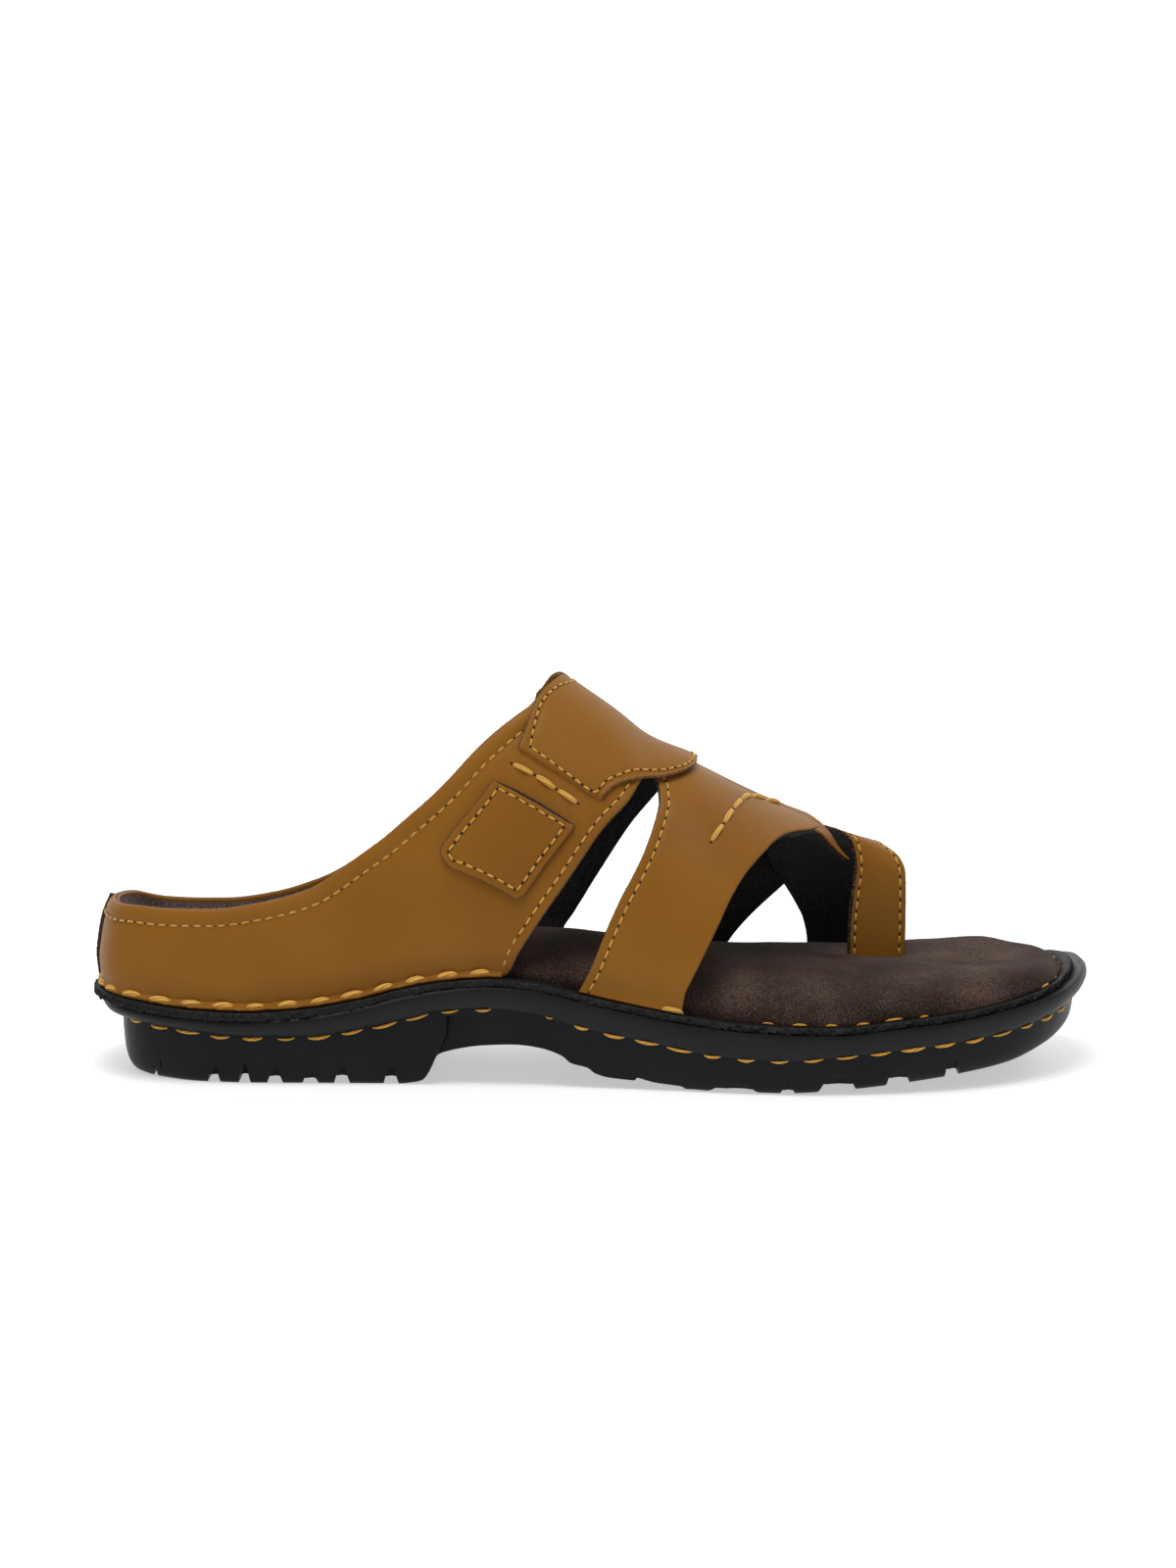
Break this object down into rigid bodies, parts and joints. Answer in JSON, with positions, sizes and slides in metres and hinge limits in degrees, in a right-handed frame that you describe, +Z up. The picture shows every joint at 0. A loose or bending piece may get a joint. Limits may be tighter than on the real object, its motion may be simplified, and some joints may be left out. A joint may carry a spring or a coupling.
{
  "type": "toe-ring sandal",
  "caption": "Open slip-on leather sandal with a closed heel, an instep band, a crossing vamp strap and a toe ring, on a stitched, lugged sole with a domed suede footbed.",
  "frame": {"origin": "middle of the object's box at floor level, under the waist of the sole", "axes": "+X towards the toe, +Y towards the inner side of the foot, +Z up"},
  "size_m": [0.292, 0.104, 0.1146],
  "materials": {
    "tan_leather": "smooth oiled tan leather, black lining",
    "footbed_suede": "dark brown suede over a soft pad",
    "board_edge": "black board with a rough cut edge",
    "sole_rubber": "satin black moulded sole"
  },
  "bodies": {
    "root": {"outsole": "sole_rubber", "midsole": "sole_rubber", "welt_board": "board_edge", "footbed": "footbed_suede", "upper": "tan_leather", "instep_saddle": "tan_leather", "quarter_patch": "tan_leather"}
  },
  "joints": []
}
